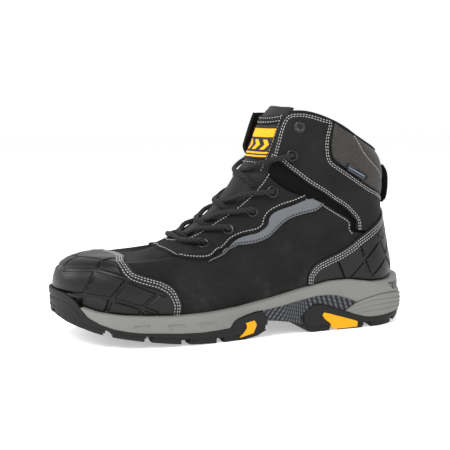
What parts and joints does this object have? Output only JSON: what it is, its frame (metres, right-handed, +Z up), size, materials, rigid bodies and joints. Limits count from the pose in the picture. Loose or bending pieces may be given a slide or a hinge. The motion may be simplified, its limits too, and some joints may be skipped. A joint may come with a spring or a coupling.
{
  "type": "safety work boot",
  "caption": "Ankle-height laced safety boot with a steel toe cap, moulded toe and heel guards, a padded collar and tongue, and a lugged sole with an arch stabiliser.",
  "frame": {"origin": "centre of the boot's bounding box at the ground", "axes": "-X toward the toe, +X toward the heel, -Y toward the outer side of the left foot, +Z up"},
  "size_m": [0.3098, 0.111, 0.1909],
  "materials": {
    "leather": "matte nubuck",
    "moulded_guard": "satin",
    "rubber": "matte",
    "foam_grey": "matte foam",
    "stabiliser": "woven look",
    "yellow": "satin",
    "steel": "plain",
    "board": "fibre board",
    "counter_board": "fibre board",
    "footbed_foam": "fabric on foam",
    "lining_fabric": "knit mesh",
    "collar_fabric": "brushed textile",
    "gusset_fabric": "knit",
    "webbing": "woven",
    "reflective": "retroreflective",
    "label_fabric": "woven",
    "eyelet_metal": "dark lacquer",
    "lace_cord": "braided"
  },
  "bodies": {
    "boot": {"outsole_forefoot": "rubber", "outsole_heel": "rubber", "arch_stabiliser": "stabiliser", "midsole": "foam_grey", "insert_forefoot_outer": "yellow", "insert_forefoot_inner": "yellow", "insert_heel_outer": "yellow", "insert_heel_inner": "yellow", "heel_clip": "stabiliser", "puncture_plate": "steel", "insole_board": "board", "footbed": "footbed_foam", "vamp": "leather", "toe_cap": "steel", "heel_counter": "counter_board", "lining": "lining_fabric", "toe_overlay": "moulded_guard", "heel_overlay": "moulded_guard", "eyestay": "leather", "reflective_outer": "reflective", "reflective_inner": "reflective", "eyelets_lower": "eyelet_metal", "flex_gusset_outer": "gusset_fabric", "flex_gusset_inner": "gusset_fabric", "lace": "lace_cord"},
    "cuff": {"cuff_panel_outer": "leather", "cuff_panel_inner": "leather", "collar": "collar_fabric", "cuff_lining": "lining_fabric", "eyelets_upper": "eyelet_metal", "pull_tab": "webbing", "side_tag": "webbing"},
    "tongue": {"tongue": "collar_fabric", "tongue_patch": "leather", "tongue_label": "label_fabric"}
  },
  "joints": [
    {"name": "ankle_flex", "type": "hinge", "parent": "boot", "child": "cuff", "pos_m": [0.1044, -0.001, 0.084], "axis": [0, -1, 0], "range_deg": [0, 7], "stiffness_Nm_per_rad": 0.6, "deforming": ["flex_gusset_outer", "flex_gusset_inner", "lace"]},
    {"name": "tongue_hinge", "type": "hinge", "parent": "boot", "child": "tongue", "pos_m": [-0.0656, -0.001, 0.072], "axis": [0, 1, 0], "range_deg": [0, 16], "deforming": ["lace"]}
  ]
}
